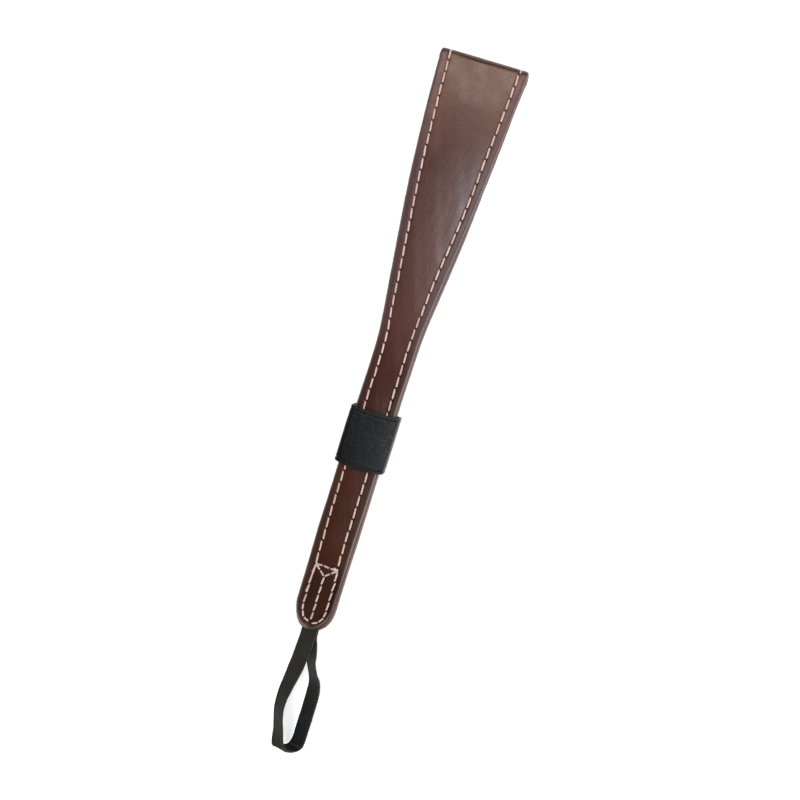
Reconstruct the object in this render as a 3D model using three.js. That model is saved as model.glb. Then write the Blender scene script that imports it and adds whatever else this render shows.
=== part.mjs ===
// Camera wrist strap: one long leather strip folded at its widest place, its two ends
// sewn together round a loop of flat woven tape, with a sliding keeper round both halves.
// Millimetres, +Z up. The strap lies on its back: Y runs from the tape loop to the fold,
// X to the strap's right, and Z = 0 is the surface that it lies on.

import * as THREE from 'three';

// ---------------------------------------------------------------- driving dimensions
const LEATHER_LENGTH = 206.6; // rounded tip to fold, lying flat
const LEATHER_WALL = 2.2;
const LEATHER_EDGE_ROUND = 0.7;
const NARROW_WIDTH = 13.8;
const TIP_WIDTH = 13.2;
const TIP_LENGTH = 8.8; // length of the half-oval end
const PANEL_CROWN = 0.3; // how far the front panel swells between its seams
const SEWN_PINCH = 1.15; // how far the seam draws each half in beside the tape tails
const SEWN_LENGTH = 22; // the sewn-together stretch, from the tip

const FOLD_OUTER_RADIUS = 4.3;
const FOLD_LIFT_DEG = 9; // angle at which the front half rises away from the fold

const BACK_HALF_DRIFT = 0.9; // sideways offset of the back half at the tip, none at the fold
const FRONT_TIP_SETBACK = 2.0; // the back half ends this much beyond the front half

const TAPE_WIDTH = 5.4;
const TAPE_THICKNESS = 1.0;
const TAPE_TAIL = 21; // length of the sewn-in ends
const PIECE_GAP = 0.3; // clearance between neighbouring pieces
const TAPE_PLY_GAP = 0.2;

const KEEPER_LENGTH = 20.9;
const KEEPER_START = 61.2; // lower edge, measured from the tip
const KEEPER_WALL = 1.2;
const KEEPER_CORNER = 1.7;
const KEEPER_BOW = 0.7; // the front face is dragged this far towards the tip at its middle

// Heights of the layers that lie on each other, from the surface up.
const BACK_RAISED = KEEPER_WALL + PIECE_GAP;
const TAIL_LOW = LEATHER_WALL + PIECE_GAP + TAPE_THICKNESS / 2;
const TAIL_HIGH = TAIL_LOW + TAPE_THICKNESS + TAPE_PLY_GAP;
const FRONT_AT_TIP = TAIL_HIGH + TAPE_THICKNESS / 2 + PIECE_GAP;
const FRONT_AT_KEEPER = BACK_RAISED + LEATHER_WALL + PIECE_GAP;

// Width of the leather strip along its length, either half.
const STRIP_WIDTHS = [
  { along: TIP_LENGTH, width: TIP_WIDTH },
  { along: 50, width: NARROW_WIDTH },
  { along: 100, width: 13.6 },
  { along: 107, width: 14.0 },
  { along: 113, width: 14.8 },
  { along: 121, width: 16.5 },
  { along: 133, width: 19.0 },
  { along: 147, width: 21.8 },
  { along: 162, width: 24.4 },
  { along: 176, width: 26.6 },
  { along: 190, width: 28.4 },
  { along: 200, width: 29.5 },
  { along: LEATHER_LENGTH, width: 30.1 },
];

// Underside of the back half: flat on the surface, lifted where it runs over the keeper.
const BACK_HALF_HEIGHTS = [
  { along: 0, height: 0 },
  { along: 24, height: 0 },
  { along: 54, height: BACK_RAISED },
  { along: 84, height: BACK_RAISED },
  { along: 112, height: 0 },
  { along: LEATHER_LENGTH, height: 0 },
];

// Underside of the front half: over the tape tails, down to the back half in the keeper,
// then up into the arch that leaves room for the wrist.
const FRONT_HALF_HEIGHTS = [
  { along: 0, height: FRONT_AT_TIP },
  { along: 24, height: FRONT_AT_TIP },
  { along: 54, height: FRONT_AT_KEEPER },
  { along: 84, height: FRONT_AT_KEEPER },
  { along: 100, height: 5.0 },
  { along: 120, height: 7.4 },
  { along: 143, height: 9.3 },
  { along: 166, height: 9.9 },
  { along: 188, height: 8.7 },
];

// Route of the tape outside the leather: the upper strand down to the eye, the turn at its
// end and the lower strand back. Tilt lifts the tape's right-hand edge, and slew swings
// that edge round in plan, both in degrees.
const TAPE_ROUTE = [
  { along: -2, across: 0.6, height: TAIL_HIGH, tilt: 0, slew: 0 },
  { along: -5.7, across: 0.5, height: 4.4, tilt: 1, slew: 0 },
  { along: -11.4, across: 0.2, height: 4.4, tilt: 5, slew: -3 },
  { along: -17.1, across: -0.4, height: 4.1, tilt: 24, slew: -7 },
  { along: -21.4, across: -0.95, height: 3.7, tilt: 34, slew: -5 },
  { along: -25.7, across: -1.25, height: 3.3, tilt: 49, slew: 0 },
  { along: -30, across: -1.1, height: 3.0, tilt: 59, slew: 8 },
  { along: -33.6, across: -0.2, height: 2.9, tilt: 62, slew: 14 },
  { along: -37.2, across: 0.9, height: 3.1, tilt: 56, slew: 15 },
  { along: -40.4, across: 2.0, height: 3.7, tilt: 38, slew: 6 },
  { along: -42.4, across: 3.1, height: 3.7, tilt: 26, slew: -6 },
  { along: -43.1, across: 4.3, height: 2.7, tilt: 22, slew: -9 },
  { along: -42.6, across: 6.2, height: 1.7, tilt: 20, slew: -6 },
  { along: -40.9, across: 7.7, height: 1.7, tilt: 26, slew: 0 },
  { along: -38.6, across: 8.35, height: 1.9, tilt: 31, slew: 4 },
  { along: -34.3, across: 8.5, height: 2.0, tilt: 32, slew: 2 },
  { along: -27.1, across: 8.55, height: 2.0, tilt: 32, slew: 0 },
  { along: -20.6, across: 8.4, height: 2.1, tilt: 32, slew: 6 },
  { along: -17.1, across: 8.0, height: 2.3, tilt: 42, slew: 15 },
  { along: -14.2, across: 6.65, height: 2.7, tilt: 57, slew: 18 },
  { along: -11.4, across: 5.3, height: 2.8, tilt: 60, slew: 18 },
  { along: -7.8, across: 3.6, height: 2.6, tilt: 42, slew: 18 },
  { along: -4.6, across: 2.0, height: 2.4, tilt: 20, slew: 12 },
  { along: -2, across: 1.0, height: TAIL_LOW - 0.15, tilt: 5, slew: 4 },
];

// ---------------------------------------------------------------- helpers
const radians = THREE.MathUtils.degToRad;

// Smooth value of one column of a table at a place along it, without overshooting a row.
function valueAt(rows, column, place) {
  const last = rows.length - 1;
  if (place <= rows[0].along) return rows[0][column];
  if (place >= rows[last].along) return rows[last][column];
  const step = (i) => rows[i + 1].along - rows[i].along;
  const rise = (i) => (rows[i + 1][column] - rows[i][column]) / step(i);
  const slopeAtRow = (i) => {
    if (i === 0) return rise(0);
    if (i === last) return rise(last - 1);
    const before = rise(i - 1);
    const after = rise(i);
    return before * after > 0 ? (2 * before * after) / (before + after) : 0;
  };
  const i = rows.findIndex((row, n) => n < last && place < rows[n + 1].along);
  const t = (place - rows[i].along) / step(i);
  const ease = t * t * (3 - 2 * t);
  const leave = t * (1 - t) * (1 - t) * step(i) * slopeAtRow(i);
  const arrive = t * t * (t - 1) * step(i) * slopeAtRow(i + 1);
  return rows[i][column] + (rows[i + 1][column] - rows[i][column]) * ease + leave + arrive;
}

// Closed body from rings of points, capped at both ends, or joined end to end when looped.
function skin(rings, looped) {
  const count = rings[0].length;
  const positions = rings.flat().flatMap((p) => [p.x, p.y, p.z]);
  const faces = [];
  const spans = looped ? rings.length : rings.length - 1;
  for (let r = 0; r < spans; r += 1) {
    const here = r * count;
    const next = ((r + 1) % rings.length) * count;
    for (let k = 0; k < count; k += 1) {
      const k2 = (k + 1) % count;
      faces.push([here + k, here + k2, next + k2], [here + k, next + k2, next + k]);
    }
  }
  if (!looped) {
    const end = (rings.length - 1) * count;
    for (let k = 1; k < count - 1; k += 1) {
      faces.push([0, k + 1, k], [end, end + k, end + k + 1]);
    }
  }
  const geometry = new THREE.BufferGeometry();
  geometry.setAttribute('position', new THREE.Float32BufferAttribute(positions, 3));
  geometry.setIndex(outwardFaces(positions, faces).flat());
  geometry.computeVertexNormals();
  return geometry;
}

// Turns the faces round when they enclose a negative volume.
function outwardFaces(positions, faces) {
  const corner = (n) => new THREE.Vector3().fromArray(positions, 3 * n);
  const volume = faces.reduce((sum, [a, b, c]) => {
    return sum + corner(a).dot(corner(b).cross(corner(c)));
  }, 0);
  return volume > 0 ? faces : faces.map(([a, b, c]) => [a, c, b]);
}

function namedMesh(name, geometry, material) {
  const mesh = new THREE.Mesh(geometry, material);
  mesh.name = name;
  return mesh;
}

// Evenly spaced places from start to end, both included.
function spread(start, end, count) {
  return Array.from({ length: count + 1 }, (_, n) => start + ((end - start) * n) / count);
}

// ---------------------------------------------------------------- leather band
// Half-width of the strip at a place along it, drawn in to an oval at the end.
function stripHalfWidth(along) {
  if (along >= TIP_LENGTH) return valueAt(STRIP_WIDTHS, 'width', along) / 2;
  const inset = (TIP_LENGTH - along) / TIP_LENGTH;
  return (TIP_WIDTH / 2) * Math.sqrt(Math.max(0, 1 - inset * inset));
}

// Places from the tip to where the fold starts, closer together round the oval end.
function stripPlaces(foldStart) {
  const TIP_STEPS = 9;
  const FIRST_ANGLE = 10;
  const oval = spread(FIRST_ANGLE, 90, TIP_STEPS).map((a) => TIP_LENGTH * (1 - Math.cos(radians(a))));
  const BODY_STEPS = 52;
  return oval.concat(spread(TIP_LENGTH, foldStart, BODY_STEPS).slice(1));
}

// One ring of the strip: across is X, depth is positive away from the wrist loop. The crown
// swells the outer face, and the pinch draws both edges in towards the other half.
function stripRing(station) {
  const { along, height, tangent, halfWidth, drift, crown, pinch } = station;
  const half = LEATHER_WALL / 2;
  const round = Math.min(LEATHER_EDGE_ROUND, 0.6 * halfWidth);
  const soft = 0.3 * round;
  const flat = halfWidth - round;
  const places = [-1, -0.72, -0.42, 0, 0.42, 0.72, 1];
  const inner = places.map((f) => [f * flat, -half]);
  const outer = places.toReversed().map((f) => [f * flat, half + crown * (1 - f * f)]);
  const edge = (side) => [
    [side * (halfWidth - soft), side * (soft - half)],
    [side * halfWidth, side * (round - half)],
    [side * halfWidth, side * (half - round)],
    [side * (halfWidth - soft), side * (half - soft)],
  ];
  const out = { y: tangent.z, z: -tangent.y };
  const PINCH_START = TAPE_WIDTH / 2 + 0.4;
  const PINCH_END = TIP_WIDTH / 2 - 1.1;
  return [...inner, ...edge(1), ...outer, ...edge(-1)].map(([across, level]) => {
    const drawn = pinch * THREE.MathUtils.smoothstep(Math.abs(across), PINCH_START, PINCH_END);
    const depth = level - drawn;
    return new THREE.Vector3(drift + across, along + out.y * depth, height + out.z * depth);
  });
}

// Direction of a half in the Y-Z plane from the slope of its height table.
function halfTangent(rows, along, heading) {
  const REACH = 0.5;
  const slope = (valueAt(rows, 'height', along + REACH) - valueAt(rows, 'height', along - REACH))
    / (2 * REACH);
  const length = Math.hypot(1, slope);
  return { y: heading / length, z: (heading * slope) / length };
}

// The seam lets go gradually past the sewn stretch.
function pinchAt(along) {
  const RELEASE = 14;
  return SEWN_PINCH * (1 - THREE.MathUtils.smoothstep(along, SEWN_LENGTH, SEWN_LENGTH + RELEASE));
}

function leatherBand() {
  const half = LEATHER_WALL / 2;
  const bend = FOLD_OUTER_RADIUS - half; // radius of the fold at the middle of the wall
  const foldCentre = { y: LEATHER_LENGTH - FOLD_OUTER_RADIUS, z: FOLD_OUTER_RADIUS };
  const lift = radians(FOLD_LIFT_DEG);
  const frontStart = {
    along: foldCentre.y + bend * Math.sin(lift),
    height: foldCentre.z + bend * Math.cos(lift) - half,
  };
  const frontRows = FRONT_HALF_HEIGHTS.concat([frontStart]);

  const backStation = (along) => ({
    along,
    height: valueAt(BACK_HALF_HEIGHTS, 'height', along) + half,
    tangent: halfTangent(BACK_HALF_HEIGHTS, along, 1),
    halfWidth: stripHalfWidth(along),
    drift: BACK_HALF_DRIFT * (1 - along / LEATHER_LENGTH),
    crown: 0,
    pinch: pinchAt(along),
  });
  const foldStation = (angle) => ({
    along: foldCentre.y + bend * Math.cos(angle),
    height: foldCentre.z + bend * Math.sin(angle),
    tangent: { y: -Math.sin(angle), z: Math.cos(angle) },
    halfWidth: stripHalfWidth(LEATHER_LENGTH),
    drift: 0,
    crown: 0,
    pinch: 0,
  });
  const frontStation = (along) => ({
    along: along + FRONT_TIP_SETBACK * (1 - along / LEATHER_LENGTH),
    height: valueAt(frontRows, 'height', along) + half,
    tangent: halfTangent(frontRows, along, -1),
    halfWidth: stripHalfWidth(along),
    drift: 0,
    crown: PANEL_CROWN * THREE.MathUtils.smoothstep(LEATHER_LENGTH - along, 4, 30)
      * THREE.MathUtils.smoothstep(along, 1, 12),
    pinch: pinchAt(along),
  });

  const FOLD_STEPS = 12;
  const back = stripPlaces(foldCentre.y).map(backStation);
  const fold = spread(-Math.PI / 2, Math.PI / 2 - lift, FOLD_STEPS).slice(1, -1).map(foldStation);
  const front = stripPlaces(frontStart.along).reverse().map(frontStation);
  return skin(back.concat(fold, front).map(stripRing), false);
}

// ---------------------------------------------------------------- tape loop
// Corners of the tape's section: w runs across its width, t through its thickness.
const TAPE_SECTION = [
  { w: -0.5, t: -0.2 }, { w: -0.46, t: -0.5 }, { w: 0.46, t: -0.5 }, { w: 0.5, t: -0.2 },
  { w: 0.5, t: 0.2 }, { w: 0.46, t: 0.5 }, { w: -0.46, t: 0.5 }, { w: -0.5, t: 0.2 },
];

function tapeLoop() {
  const tail = (along, height) => ({ along, across: 0.6, height, tilt: 0, slew: 0 });
  const tailPlaces = [TAPE_TAIL, TAPE_TAIL / 2, 1.5];
  const rows = [
    ...tailPlaces.map((along) => tail(along, TAIL_HIGH)),
    ...TAPE_ROUTE,
    ...tailPlaces.toReversed().map((along) => tail(along, TAIL_LOW)),
  ];
  const smoothThrough = (pick) => new THREE.CatmullRomCurve3(rows.map(pick));
  const route = smoothThrough((row) => new THREE.Vector3(row.across, row.along, row.height));
  const turns = smoothThrough((row) => new THREE.Vector3(row.tilt, row.slew, 0));
  const STEPS_PER_ROW = 4;
  const rings = spread(0, 1, STEPS_PER_ROW * (rows.length - 1)).map((t) => {
    const centre = route.getPoint(t);
    const turn = turns.getPoint(t);
    const tilt = radians(turn.x);
    const slew = radians(turn.y);
    const width = new THREE.Vector3(
      Math.cos(tilt) * Math.cos(slew),
      Math.cos(tilt) * Math.sin(slew),
      Math.sin(tilt),
    );
    const face = width.clone().cross(route.getTangent(t)).normalize();
    return TAPE_SECTION.map((corner) => centre.clone()
      .addScaledVector(width, corner.w * TAPE_WIDTH)
      .addScaledVector(face, corner.t * TAPE_THICKNESS));
  });
  return skin(rings, false);
}

// ---------------------------------------------------------------- keeper
// Outline of a rounded rectangle in X-Z, anticlockwise, the same point count at any size.
function roundedBox(width, height, corner) {
  const CORNER_STEPS = 4;
  const centres = [[1, 1, 0], [-1, 1, 90], [-1, -1, 180], [1, -1, 270]];
  return centres.flatMap(([sx, sz, from]) => {
    const cx = sx * (width / 2 - corner);
    const cz = sz * (height / 2 - corner);
    return spread(from, from + 90, CORNER_STEPS).map((a) => ({
      x: cx + corner * Math.cos(radians(a)),
      z: cz + corner * Math.sin(radians(a)),
    }));
  });
}

function keeperBand() {
  const boreWidth = NARROW_WIDTH + BACK_HALF_DRIFT + 2 * PIECE_GAP;
  const boreHeight = 2 * LEATHER_WALL + 3 * PIECE_GAP + PANEL_CROWN;
  const outerWidth = boreWidth + 2 * KEEPER_WALL;
  const outerHeight = boreHeight + 2 * KEEPER_WALL;
  const middle = { x: BACK_HALF_DRIFT / 2, z: outerHeight / 2 };
  const EDGE = 0.3; // small bevel round each open end
  const ring = (inset, outline) => outline.map((p) => {
    const level = (p.z + middle.z) / outerHeight;
    const sideways = (2 * p.x) / outerWidth;
    const bow = KEEPER_BOW * level * level * (1 - sideways * sideways);
    return new THREE.Vector3(p.x + middle.x, KEEPER_START + inset - bow, p.z + middle.z);
  });
  const outer = (shrink) => roundedBox(
    outerWidth - 2 * shrink,
    outerHeight - 2 * shrink,
    KEEPER_CORNER - shrink,
  );
  const bore = roundedBox(boreWidth, boreHeight, KEEPER_CORNER - KEEPER_WALL + EDGE);
  const ROWS = 4;
  const outside = spread(EDGE, KEEPER_LENGTH - EDGE, ROWS).map((at) => ring(at, outer(0)));
  const inside = spread(KEEPER_LENGTH, 0, ROWS).map((at) => ring(at, bore));
  const rings = [ring(0, outer(EDGE)), ...outside, ring(KEEPER_LENGTH, outer(EDGE)), ...inside];
  return skin(rings, true);
}

// ---------------------------------------------------------------- assembly
const brownLeather = new THREE.MeshStandardMaterial({ color: 0x5a3a2c, roughness: 0.5, metalness: 0 });
const blackLeather = new THREE.MeshStandardMaterial({ color: 0x26282a, roughness: 0.6, metalness: 0 });
const blackTape = new THREE.MeshStandardMaterial({ color: 0x1e1d1b, roughness: 0.85, metalness: 0 });

const group = new THREE.Group();
group.add(namedMesh('strap_band', leatherBand(), brownLeather));
group.add(namedMesh('lug_loop', tapeLoop(), blackTape));
group.add(namedMesh('sliding_keeper', keeperBand(), blackLeather));

// The origin lies on the surface under the middle of the whole strap.
const reach = new THREE.Box3().setFromObject(group);
const middle = reach.getCenter(new THREE.Vector3());
group.position.set(-middle.x, -middle.y, -reach.min.z);

export default group;
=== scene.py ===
"""Camera wrist strap: the looks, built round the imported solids.

A folded leather band with sewn edges, a loop of flat woven tape sewn in between its two
ends, and a sliding keeper round both halves. Shapes are worked out in millimetres in the
strap's own frame (X across, Y along from the tape loop to the fold, Z up from the surface
that it lies on) and become metres where a mesh is made.
"""

import math
from collections import namedtuple

import bpy
import numpy as np
from mathutils import Matrix, Vector


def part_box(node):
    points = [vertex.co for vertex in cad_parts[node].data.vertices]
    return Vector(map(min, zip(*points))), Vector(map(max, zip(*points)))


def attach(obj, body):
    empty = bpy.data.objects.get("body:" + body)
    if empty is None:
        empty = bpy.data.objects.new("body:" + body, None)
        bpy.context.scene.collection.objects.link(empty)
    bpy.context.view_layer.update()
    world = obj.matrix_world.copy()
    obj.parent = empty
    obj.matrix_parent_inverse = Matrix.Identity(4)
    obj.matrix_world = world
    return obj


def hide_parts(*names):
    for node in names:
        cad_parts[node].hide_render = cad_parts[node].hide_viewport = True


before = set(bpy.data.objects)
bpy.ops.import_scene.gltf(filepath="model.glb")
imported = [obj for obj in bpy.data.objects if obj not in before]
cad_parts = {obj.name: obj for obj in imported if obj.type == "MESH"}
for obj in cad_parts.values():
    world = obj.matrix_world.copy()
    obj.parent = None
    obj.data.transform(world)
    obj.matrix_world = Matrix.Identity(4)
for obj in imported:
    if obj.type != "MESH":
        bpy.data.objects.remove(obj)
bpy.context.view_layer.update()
MM = 0.001
GROUND_GAP = 0.02  # millimetres; no piece comes nearer to the ground
UV_SIZE = 100  # millimetres to one unit of a piece's UV map

# -------- sizes, in millimetres
LEATHER_LENGTH = 206.6  # rounded tip to fold, lying flat
LEATHER_WALL = 2.2
EDGE_ROUND = 0.85
TIP_WIDTH = 13.2
NARROW_WIDTH = 13.8
TIP_LENGTH = 8.8
PANEL_CROWN = 0.4
FOLD_RADIUS = 4.3
FOLD_LIFT = math.radians(9)
FOLD_FULLNESS = 0.88  # 0.55 would make the fold round
BACK_DRIFT = 1.08  # sideways offset of the back half at the tip, none at the fold
SIDE_SHIFT = 0.28  # the wide part lies this far to the right of the narrow part's line
TIP_SETBACK = 2.0
BACK_TRIM = 0.4  # the back half is a little narrower near the fold
SEWN_PINCH = 1.15
SEWN_LENGTH = 22
PINCH_RELEASE = 14
PINCH_START, PINCH_END = 2.5, 6.4  # across positions where the margins are drawn down

TAPE_WIDTH = 5.7
TAPE_THICKNESS = 1.0
TAPE_TAIL = 21
TAPE_ACROSS = 0.8  # the sewn-in ends lie this far right of the middle
PIECE_GAP = 0.3
PLY_GAP = 0.2

KEEPER_WALL = 1.2
KEEPER_SLIP = 0.65  # the sleeve sits this much nearer the tip
KEEPER_CORNER = 1.3
KEEPER_BOW = 0.7

STITCH_LEFT = 4.254  # pitch of the left-hand row
STITCH_RIGHT = 4.374
STITCH_GAP = 0.5  # between the holes of one stitch and the next
STITCH_LEAN = 0.1  # each end of a stitch lies this far off its row
THREAD_WIDTH = 0.62
THREAD_HEIGHT = 0.45
UNDER_BURY = 0.2  # how much deeper the thread lies on the side that rests on the ground

BACK_RAISED = KEEPER_WALL + PIECE_GAP
TAIL_LOW = LEATHER_WALL + PIECE_GAP + TAPE_THICKNESS / 2
TAIL_HIGH = TAIL_LOW + TAPE_THICKNESS + PLY_GAP
FRONT_AT_TIP = TAIL_HIGH + TAPE_THICKNESS / 2 + PIECE_GAP
FRONT_AT_KEEPER = BACK_RAISED + LEATHER_WALL + PIECE_GAP

# Where the strap lies: the fold's outside and the band's middle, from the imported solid.
BAND_LOW, BAND_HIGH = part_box("strap_band")
FOLD_Y = BAND_HIGH.y / MM
MIDDLE_X = (BAND_LOW.x + BAND_HIGH.x) / 2 / MM
KEEPER_LOW, KEEPER_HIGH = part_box("sliding_keeper")

Width = namedtuple("Width", "along width")
STRIP_WIDTHS = [Width(*row) for row in (
    (TIP_LENGTH, TIP_WIDTH), (50, NARROW_WIDTH), (100, 13.9), (107, 14.15), (113, 15.0),
    (121, 16.65), (133, 19.15), (147, 22.2), (162, 25.05), (176, 27.15), (190, 29.1),
    (200, 30.2), (LEATHER_LENGTH, 30.8),
)]

Height = namedtuple("Height", "along height")
BACK_HEIGHTS = [
    Height(0, 0), Height(24, 0), Height(54, BACK_RAISED), Height(84, BACK_RAISED),
    Height(112, 0), Height(LEATHER_LENGTH, 0),
]
FRONT_HEIGHTS = [
    Height(0, FRONT_AT_TIP), Height(24, FRONT_AT_TIP), Height(54, FRONT_AT_KEEPER),
    Height(84, FRONT_AT_KEEPER), Height(100, 5.0), Height(120, 7.4), Height(143, 9.3),
    Height(166, 9.9), Height(188, 8.7),
]

# How far each row of stitches runs inside the leather's edge.
SeamInset = namedtuple("SeamInset", "along left right")
SEAM_INSETS = [SeamInset(*row) for row in (
    (20, 2.98, 2.75), (45, 2.72, 3.02), (82, 2.87, 2.55), (105, 3.02, 2.68), (115, 2.78, 2.6),
    (130, 3.03, 2.85), (155, 3.28, 2.6), (170, 3.25, 2.86), (190, 3.33, 2.86),
    (LEATHER_LENGTH, 3.2, 2.92),
)]

# Route of the tape outside the leather, as its solid has it. Tilt lifts its right-hand
# edge and slew swings that edge round in plan, both in degrees.
TapeRow = namedtuple("TapeRow", "along across height tilt slew")
TAPE_ROUTE = [TapeRow(*row) for row in (
    (-2, 0.85, TAIL_HIGH, 0, 0), (-5.7, 0.75, 4.4, 1, 0), (-11.4, 0.4, 4.4, 5, -3),
    (-17.1, -0.3, 4.1, 24, -7), (-21.4, -0.95, 3.7, 32, -5), (-25.7, -1.4, 3.4, 42, 0),
    (-30, -1.3, 3.2, 47, 8), (-33.6, -0.5, 3.1, 50, 14), (-37.4, 0.7, 3.2, 46, 14),
    (-41.2, 1.75, 3.6, 36, 6), (-43.3, 2.8, 3.6, 26, 1), (-43.4, 4.4, 2.8, 22, -4),
    (-42.9, 6.4, 1.8, 20, -5), (-41.5, 8.0, 1.7, 22, 0), (-39.2, 8.6, 1.9, 27, 4),
    (-34.3, 8.65, 2.0, 28, 2), (-27.1, 8.65, 2.0, 28, 0), (-20.6, 8.45, 2.1, 30, 6),
    (-17.1, 7.85, 2.3, 42, 15), (-14.2, 6.35, 2.7, 54, 18), (-11.4, 5.0, 2.8, 54, 18),
    (-7.8, 3.7, 2.6, 38, 18), (-4.6, 2.3, 2.4, 18, 12), (-2, 1.4, TAIL_LOW - 0.15, 5, 4),
)]


# -------- helpers
def smoothstep(value, low, high):
    t = np.clip((np.asarray(value, float) - low) / (high - low), 0, 1)
    return t * t * (3 - 2 * t)


def value_at(rows, column, places):
    """Smooth values of one column at places along the strap, never past a row's value."""
    x = np.array([row.along for row in rows], float)
    y = np.array([getattr(row, column) for row in rows], float)
    rise = np.diff(y) / np.diff(x)
    before, after = rise[:-1], rise[1:]
    total = np.where(before + after == 0, 1, before + after)
    inner = np.where(before * after > 0, 2 * before * after / total, 0)
    slope = np.concatenate([[rise[0]], inner, [rise[-1]]])
    places = np.clip(np.asarray(places, float), x[0], x[-1])
    i = np.clip(np.searchsorted(x, places, side="right") - 1, 0, len(x) - 2)
    step = x[i + 1] - x[i]
    t = (places - x[i]) / step
    ease = t * t * (3 - 2 * t)
    leave = t * (1 - t) ** 2 * step * slope[i]
    arrive = t * t * (t - 1) * step * slope[i + 1]
    return y[i] + (y[i + 1] - y[i]) * ease + leave + arrive


def waves(places, seed, longest=60.0, octaves=4):
    """Smooth repeatable unevenness between about -1 and 1 along a list of places."""
    draw = np.random.default_rng(seed)
    total = np.zeros_like(np.asarray(places, float))
    for octave in range(octaves):
        length = longest / 1.9**octave
        total += np.sin(2 * math.pi * (places / length + draw.random())) / 1.7**octave
    return total / 1.9


def unit(vectors):
    return vectors / np.linalg.norm(vectors, axis=-1, keepdims=True)


def running_total(steps):
    return np.concatenate([[0], np.cumsum(steps)])


def add_object(name, data):
    holder = bpy.data.objects.new(name, data)
    bpy.context.scene.collection.objects.link(holder)
    return holder


def per_point(values, rings):
    """One number for every point, from values that repeat along the rings where they can."""
    return np.broadcast_to(values, rings.shape[:-1]).ravel()


def make_mesh(name, rings, faces, material, attributes, uv=None):
    """A smooth mesh piece from rings of points in millimetres, in the strap's frame."""
    points = rings.reshape(-1, 3).copy()
    points[:, 2] = np.maximum(points[:, 2], GROUND_GAP)
    mesh = bpy.data.meshes.new(name)
    mesh.from_pydata((points * MM).tolist(), [], faces)
    for key, values in attributes.items():
        layer = mesh.attributes.new(key, "FLOAT", "POINT")
        layer.data.foreach_set("value", per_point(values, rings).astype(np.float32))
    if uv is not None:
        pairs = np.stack([per_point(values, rings) for values in uv], -1) / UV_SIZE
        corners = np.empty(len(mesh.loops), np.int32)
        mesh.loops.foreach_get("vertex_index", corners)
        layer = mesh.uv_layers.new(name="UVMap")
        layer.data.foreach_set("uv", pairs.astype(np.float32)[corners].ravel())
    mesh.shade_smooth()
    mesh.validate()
    mesh.materials.append(material)
    return add_object(name, mesh)


def tube_faces(rings, loop=False):
    """Outward faces that join rings into a closed tube, or into a closed ring of rings."""
    rows, columns = rings.shape[:2]
    faces = []
    for r in range(rows if loop else rows - 1):
        here = r * columns
        there = (r + 1) % rows * columns
        for k in range(columns):
            k2 = (k + 1) % columns
            faces.append((here + k, here + k2, there + k2, there + k))
    if not loop:
        last = (rows - 1) * columns
        faces.append(tuple(range(columns - 1, -1, -1)))
        faces.append(tuple(range(last, last + columns)))
    points = rings.reshape(-1, 3)
    volume = 0.0
    for face in faces:
        for b, c in zip(face[1:], face[2:]):
            volume += np.dot(points[face[0]], np.cross(points[b], points[c]))
    return faces if volume > 0 else [face[::-1] for face in faces]


# -------- the strip's path
# One row per place along the strip, from the front tip over the fold to the back tip.
Strip = namedtuple("Strip", "travel along y z out_y out_z half_width drift crown pinch under")


def strip_half_width(along):
    inset = np.clip((TIP_LENGTH - along) / TIP_LENGTH, 0, 1)
    oval = TIP_WIDTH / 2 * np.sqrt(np.maximum(0, 1 - inset * inset))
    return np.where(along < TIP_LENGTH, oval, value_at(STRIP_WIDTHS, "width", along) / 2)


FOLD_ROWS = 60  # round each quarter of the fold


def quarter_turn(start, heading, end, end_heading):
    """A smooth quarter turn; a fuller one has a tighter shoulder."""
    reach = FOLD_FULLNESS * np.abs(np.array(end) - np.array(start))
    handle0 = np.array(start) + np.array(heading) * reach[0]
    handle1 = np.array(end) - np.array(end_heading) * reach[1]
    t = np.linspace(0, 1, FOLD_ROWS)[:, None]
    return (
        (1 - t) ** 3 * start + 3 * (1 - t) ** 2 * t * handle0
        + 3 * (1 - t) * t**2 * handle1 + t**3 * end
    )


# Where a form fades in or out, in millimetres along the leather from its tip.
CROWN_OFF_TIP = (1, 12)
CROWN_OFF_FOLD = (4, 30)  # from the fold instead
TRIM_BEGINS, TRIM_ENDS = (140, 165), (192, 205)
SHIFT_BEGINS = (80, 105)
PATH_ROWS = 1000  # along each half


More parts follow.
